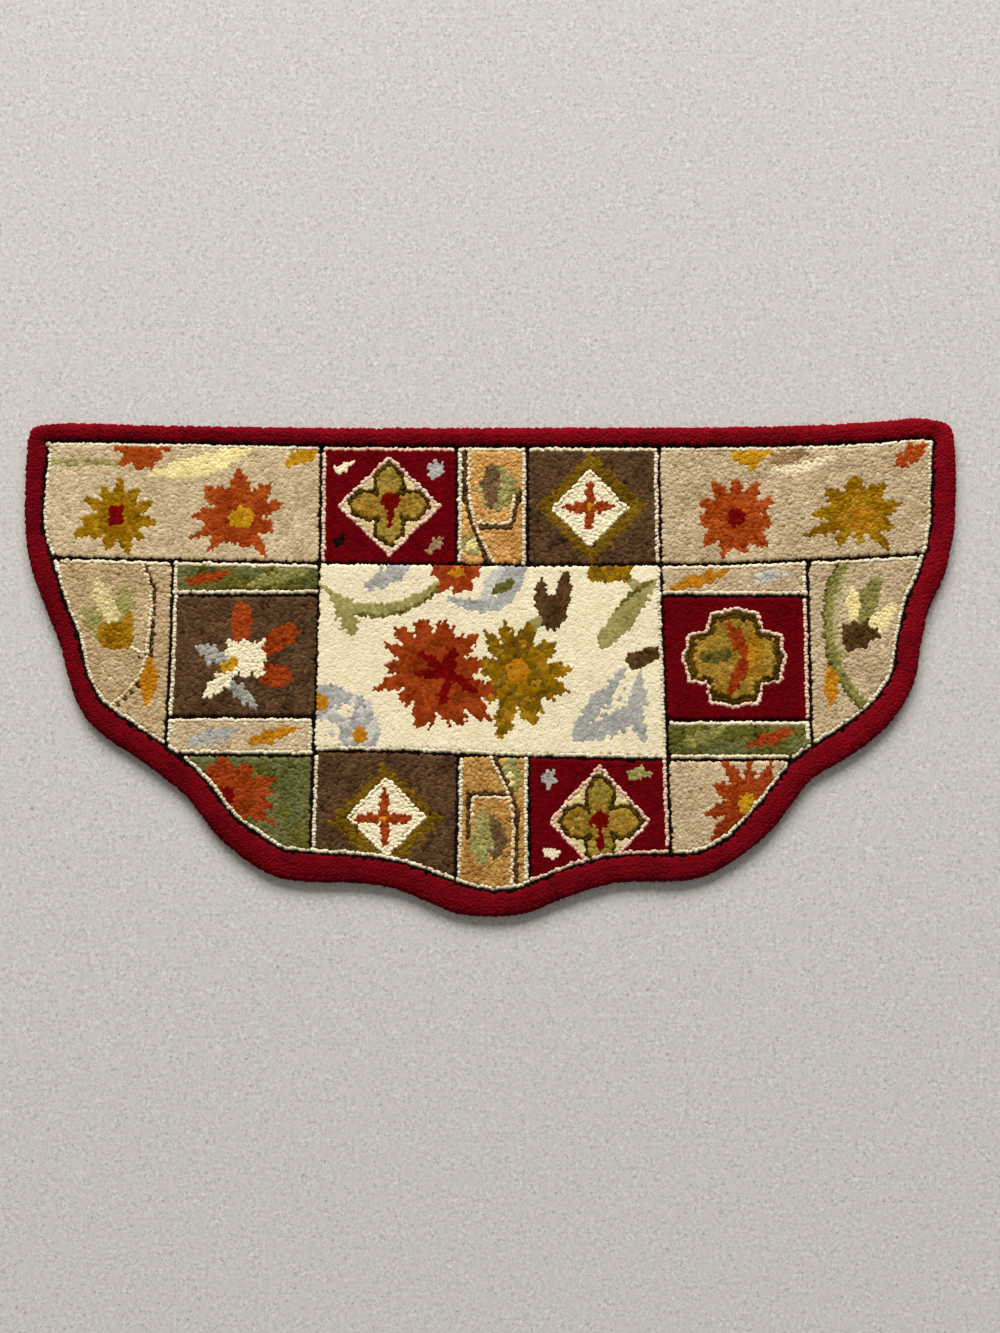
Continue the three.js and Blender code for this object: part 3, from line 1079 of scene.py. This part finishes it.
# Right green strip
# A narrow green band with a pale leaf and a rust one.
hook_block("right_green_strip", "strip green", [
    ("moss", patches(box(310, -88, 190, 40), 20, 41, 0.1)),
    ("leaf green", leaf((238, -97), (300, -76), 17, teeth=4)),
    ("rust", leaf((318, -100), (386, -79), 16)),
], relief=0.7)

# Right wing
# Beige ground in rows that curve round the lower corner, with a green stem and a tulip in
# yellow and green on a dark calyx.
hook_block("right_wing", "right beige", [
    ("faded green", stroke([(450, 124), (438, 100), (433, 76), (432, 50), (433, 26),
                            (438, 6)], 13, True)),
    ("strip green", stroke([(440, 128), (427, 106), (423, 83), (421, 61), (422, 38), (425, 16),
                            (433, -5), (446, -24), (458, -40), (468, -53)], 8)),
    ("leaf green", stroke([(445, 128), (432, 106), (427, 83), (425, 61), (426, 38), (430, 16), (438, -4),
                           (450, -22), (461, -37), (471, -50)], 10)),
    ("light green", leaf((436, 2), (450, 24), 9)),
    ("leaf green", leaf((466, 48), (491, 116), 27, 4)),
    ("pale yellow", leaf((457, 54), (457, 104), 19), leaf((469, 38), (513, 80), 22)),
    ("brown", lobed(462, 39, [(142, 26), (100, 19), (60, 24), (5, 28), (300, 18), (232, 23)], 0.78)),
    ("orange", leaf((428, 4), (428, -52), 18)),
], rings=(486, -30), relief=0.7)

# Front left block
# Moss green ground, cut by the curve of the border, with half of a rust leaf.
hook_block("front_left_block", "moss", [
    ("strip green", patches(box(-290, -180, 180, 180), 26, 42, 0.3)),
    ("rust", lobed(-334, -163, [(90, 48), (52, 50), (20, 68), (4, 62), (350, 62), (332, 68), (305, 46),
                                (180, 50)], 0.76)),
    ("brown rust", patches(oval(-330, -163, 70, 70), 10, 43, 0.3)),
    ("dark red", oval(-331, -163, 20, 24)),
], turn=20, relief=0.75)

# Front taupe block
# The back taupe block's motif again: a ragged olive ring, a cream diamond and a rust cross.
hook_block("front_taupe_block", "taupe", [
    ("bronze", diamond(-132, -192, 144, 142, 24, 0.06)),
    ("brown", diamond(-132, -189, 106, 104)),
    ("cream", diamond(-131, -188, 96, 95)),
    ("rust", leaf((-134, -195), (-133, -151), 13), leaf((-129, -190), (-173, -190), 13),
     leaf((-139, -190), (-97, -191), 13), leaf((-134, -185), (-132, -228), 13),
     diamond(-134, -190, 16, 16)),
    ("orange", oval(-134, -189, 9, 9)),
], turn=45, relief=0.7)

# Front tan block
# The back tan block's panel and two-coloured leaf again, turned the other way.
hook_block("front_tan_block", "tan", [
    ("light green", leaf((22, -112), (30, -158), 26)),
    ("pale yellow", leaf((26, -130), (24, -154), 10)),
    ("dark taupe", leaf((2, -186), (6, -244), 30, 2)),
    ("light green", leaf((-8, -176), (-8, -254), 27, -4, 0.55, 3)),
], turn=90, relief=0.9)

# Front red block
# Deep red ground with the cream diamond and quatrefoil again, cut by the border.
hook_block("front_red_block", "red", [
    # The diamond's rose-tinted cream edge is a painted reflection of the red ground
    ("cream with red reflection", diamond(137, -193, 122, 134)),
    ("soft yellow", diamond(137, -193, 112, 124)),
    ("dark olive", filled(four_armed(138, -194, 53, 60, WIDE_ARM))),
    ("olive yellow", filled(four_armed(138, -194, 48, 55, WIDE_ARM))),
    ("ochre", patches(oval(138, -194, 90, 50), 8, 45, -0.6)),
    ("dark red", stroke([(138, -196), (138, -222), (138, -234)], 9, True), oval(138, -192, 25, 22)),
    ("grey blue", lobed(74, -139, [(60, 13), (120, 10), (200, 11), (260, 14), (340, 10)], 0.7)),
    ("light green", leaf((170, -133), (204, -134), 16, teeth=3)),
    ("cream", leaf((64, -230), (89, -237), 11, teeth=3)),
], turn=52, relief=0.45)

# Front right block
# Beige ground, cut by the curve of the border, with half of a rust leaf.
hook_block("front_right_block", "right beige", [
    ("rust", lobed(326, -168, [(122, 62), (90, 46), (156, 48), (198, 58), (226, 70), (60, 52), (270, 40),
                               (0, 40)], 0.56)),
    ("gold", oval(324, -172, 26, 26)),
], turn=-14, relief=0.6)

# Border pile
# The border is hooked in crimson wool and its loops are clipped, so it stands up as a
# crowned, velvety roll that leans out over the rug's edge.
TUFT_SPACING = 3.0
TUFT_HALF_WIDTH = 4.4
TUFT_CROWN = 0.55
TUFT_TAPER = 0.9
TUFT_DEPTH = 0.8
TUFT_SINK = 1.9
TUFT_RISE = 4.0
TUFT_LEVELLING = 0.65
TUFT_CLEARANCE = 3.5
TUFT_LEAN = 0.03
TUFT_UNEVENNESS = 0.08
TUFT_STRAND_SPREAD = 0.1
FACING_DOWN = -0.9
TOP_SHARPNESS = 4
TRIALS_PER_SQUARE = 14
# Painted shade: how much darker and lighter the border's sides are coloured for the light
PAINTED_SIDE_SHADE = 0.15
SHEEN_RED = "#c04050"
CUT_END_CLUMP = 0.8
CUT_END_RELIEF = 0.3
BORDER_PARTS = {"border_pile_left": -200, "border_pile_middle": 200, "border_pile_right": 600}

# Clipped wool pile: cut ends show as soft, matt velvet, a little lighter when seen at a
# slant. They too are drawn as clumps.
clipped_wool = wool_material(
    "clipped_wool_pile",
    clump=CUT_END_CLUMP,
    fineness=0.65,
    contrast=0.1,
    strength=0.6,
    relief=CUT_END_RELIEF,
    finish={
        "Roughness": 1.0,
        "Sheen Weight": 0.06,
        "Sheen Roughness": 0.45,
        "Sheen Tint": linear(SHEEN_RED),
    },
)

# Spots are drawn evenly over the border's faces, all but those that face the floor, and
# one is kept where it has the tuft spacing from those kept before it
triangle_corners = solid_corners[solid_triangles]
side_one = triangle_corners[:, 1] - triangle_corners[:, 0]
side_two = triangle_corners[:, 2] - triangle_corners[:, 0]
facing = np.cross(side_one, side_two)
areas = np.linalg.norm(facing, axis=1) / 2
centres = triangle_corners.mean(axis=1)
on_border = ~inside(groove_line, centres[:, :2]) & (facing[:, 2] > FACING_DOWN * 2 * areas)
border_triangles = np.flatnonzero(on_border)
border_area = areas[border_triangles].sum()
trials = int(TRIALS_PER_SQUARE * border_area / TUFT_SPACING ** 2)
chosen = rng.choice(border_triangles, trials, p=areas[border_triangles] / border_area)
first, second = rng.uniform(0, 1, (2, trials))
folded = first + second > 1
first, second = np.where(folded, 1 - first, first), np.where(folded, 1 - second, second)
spots = triangle_corners[chosen, 0] + first[:, None] * side_one[chosen]
spots += second[:, None] * side_two[chosen]
taken = {}
tufts = []
neighbours = [(a, b, c) for a in (-1, 0, 1) for b in (-1, 0, 1) for c in (-1, 0, 1)]
for number, spot in enumerate(spots):
    cell = tuple((spot // TUFT_SPACING).astype(int))
    near = (taken.get((cell[0] + a, cell[1] + b, cell[2] + c), ()) for a, b, c in neighbours)
    if all(math.dist(spot, other) >= TUFT_SPACING for group in near for other in group):
        taken.setdefault(cell, []).append(tuple(spot))
        tufts.append(number)
tuft_places = spots[tufts]
clear_of_row = distances(groove_points, tuft_places[:, :2]) > TUFT_CLEARANCE
tuft_places = tuft_places[clear_of_row]
shares = np.column_stack([1 - first - second, first, second])[tufts][clear_of_row]
outward = np.einsum("nk,nkj->nj", shares, solid_normals[solid_triangles[chosen[tufts]][clear_of_row]])

# On the border's upper side the tufts are clipped nearly level and stand upright
facing_up = np.clip(outward[:, 2], 0, 1) ** TOP_SHARPNESS
tuft_places[:, 2] += TUFT_LEVELLING * facing_up * (tuft_places[:, 2].max() - tuft_places[:, 2])
outward[:, 2] += TUFT_RISE * facing_up
outward += rng.normal(0, TUFT_LEAN, outward.shape)
outward /= np.linalg.norm(outward, axis=1)[:, None]
sideways = np.cross(outward, rng.normal(0, 1, outward.shape))
tuft_tops = tuft_places - TUFT_SINK * outward * (1, 1, 0)
half_size = np.array([TUFT_HALF_WIDTH, TUFT_HALF_WIDTH, TUFT_CROWN])
sizes = half_size * rng.normal(1, TUFT_UNEVENNESS, (len(tuft_places), 3))

# Painted light and shade: the border's colour is made darker at the left and the front and lighter at the
# right and the back, for how the light falls on its sides
tuft_colours = yarn_colours("border red", tuft_places[:, :2], TUFT_STRAND_SPREAD)
rightward, backward = (tuft_places / solid_corners.max(axis=0))[:, :2].T
tuft_colours[:, :3] *= (1 + PAINTED_SIDE_SHADE * (rightward + backward))[:, None]
tuft_shape = reshaped(TUFT_TAPER, TUFT_DEPTH)
start = -LINE_REACH * 2
for name, end in BORDER_PARTS.items():
    part = (tuft_places[:, 0] >= start) & (tuft_places[:, 0] < end)
    plant_loops(name, tuft_tops[part], sideways[part], outward[part], sizes[part],
                tuft_colours[part], clipped_wool, tuft_shape)
    start = end

# Floor
# A plain pale floor for the picture, with a faint speckle. It lies a hair below the rug, so
# that the two faces don't coincide.
FLOOR_HALF = 4.0
FLOOR_GAP = 0.2
FLOOR_WARM = "#d4c6be"
FLOOR_COOL = "#c4c8c4"
CLOUD_SIZE = 11
PATCH_SIZE = 22
SPECKLE_SIZE = 4.5
FLECK_SPACING = 5.0
floor_form = bmesh.new()
bmesh.ops.create_grid(floor_form, x_segments=1, y_segments=1, size=FLOOR_HALF)
floor_mesh = bpy.data.meshes.new("floor")
floor_form.to_mesh(floor_mesh)
floor_form.free()
floor = new_object("floor", floor_mesh)
floor.location.z = -FLOOR_GAP * MM

# Plain pale floor, matt: a fine speckle that is stronger in some patches, small dark flecks,
# and a faint drift from a warm to a cool grey
plain_floor, tree = empty_material("plain_pale_floor")
place = add_node(tree, "TexCoord", {})
speckle = add_node(tree, "TexNoise", {
    "Vector": place.outputs["Object"],
    "Scale": 1 / (SPECKLE_SIZE * MM),
    "Detail": 3.0,
    "Roughness": 0.75,
    "Distortion": 0.6,
})
speckle_shade = add_node(tree, "MapRange", {
    "Value": speckle.outputs[0],
    "From Min": 0.25,
    "From Max": 0.75,
    "To Min": 0.69,
    "To Max": 1.31,
})
cloud = add_node(tree, "TexNoise", {
    "Vector": place.outputs["Object"],
    "Scale": 1 / (CLOUD_SIZE * MM),
    "Detail": 2.0,
})
cloud_colour = add_node(tree, "Mix", {
    "Factor_Float": cloud.outputs[0],
    "A_Color": linear(FLOOR_WARM),
    "B_Color": linear(FLOOR_COOL),
}, data_type="RGBA")
fleck = add_node(tree, "TexNoise", {
    "Vector": place.outputs["Object"],
    "Scale": 1 / (FLECK_SPACING * MM),
    "Detail": 1.0,
})
fleck_shade = add_node(tree, "MapRange", {
    "Value": fleck.outputs[0],
    "From Min": 0.66,
    "From Max": 0.72,
    "To Min": 1.0,
    "To Max": 0.7,
})
patch = add_node(tree, "TexNoise", {
    "Vector": place.outputs["Object"],
    "Scale": 1 / (PATCH_SIZE * MM),
    "Detail": 1.0,
})
patch_depth = add_node(tree, "MapRange", {
    "Value": patch.outputs[0],
    "From Min": 0.35,
    "From Max": 0.65,
    "To Min": 0.5,
    "To Max": 1.3,
})
patchy_speckle = add_node(tree, "Mix", {
    "Factor_Float": patch_depth.outputs[0],
    "A_Float": 1.0,
    "B_Float": speckle_shade.outputs[0],
}, clamp_factor=False)
shade = add_node(tree, "Math", {
    "Value": patchy_speckle.outputs[0],
    "Value_001": fleck_shade.outputs[0],
}, operation="MULTIPLY")
floor_colour = add_node(tree, "Mix", {
    "Factor_Float": 1.0,
    "A_Color": cloud_colour.outputs[2],
    "B_Color": shade.outputs[0],
}, data_type="RGBA", blend_type="MULTIPLY")
matt = add_node(tree, "BsdfPrincipled", {
    "Base Color": floor_colour.outputs[2],
    "Roughness": 0.9,
    "Specular IOR Level": 0.2,
})
add_node(tree, "OutputMaterial", {"Surface": matt.outputs[0]})
floor_mesh.materials.append(plain_floor)

# Light
# A large soft lamp behind the rug's back edge, and an even pale surround.
LAMP_PLACE = (-1.0, 10.9, 5.5)
LAMP_WIDTH = 14
LAMP_HEIGHT = 5.5
LAMP_POWER = 2790
SURROUND_COLOUR = "#f4f2ee"
SURROUND_STRENGTH = 0.29
lamp_data = bpy.data.lights.new("soft_lamp", "AREA")
lamp_data.shape = "ELLIPSE"
lamp_data.size = LAMP_WIDTH
lamp_data.size_y = LAMP_HEIGHT
lamp_data.energy = LAMP_POWER
lamp = new_object("soft_lamp", lamp_data)
lamp.location = LAMP_PLACE
lamp.rotation_mode = "QUATERNION"
lamp.rotation_quaternion = (-Vector(LAMP_PLACE)).to_track_quat("-Z", "Y")
surround = bpy.data.worlds.new("pale_surround")
bpy.context.scene.world = surround
surround.use_nodes = True
background = surround.node_tree.nodes["Background"].inputs
background["Color"].default_value = linear(SURROUND_COLOUR)
background["Strength"].default_value = SURROUND_STRENGTH
bpy.context.scene.view_settings.view_transform = "Standard"

# Camera
# It looks straight down on the rug, which lies a little left of the picture's middle.
PHOTO_HEIGHT_PX = 1333
PHOTO_MIDDLE_PX = (500, 666.5)
RUG_LENGTH_PX = 929.5
RUG_MIDDLE_PX = (490.45, 667.35)
LENS = 80
camera_data = bpy.data.cameras.new("camera_above")
camera_data.lens = LENS
camera_data.sensor_fit = "AUTO"
camera = new_object("camera_above", camera_data)
pixel = (cad_high.x - cad_low.x) / RUG_LENGTH_PX
camera.location = (
    (PHOTO_MIDDLE_PX[0] - RUG_MIDDLE_PX[0]) * pixel,
    (RUG_MIDDLE_PX[1] - PHOTO_MIDDLE_PX[1]) * pixel,
    PHOTO_HEIGHT_PX * pixel * LENS / camera_data.sensor_width + BORDER_SIDE * MM,
)
bpy.context.scene.camera = camera
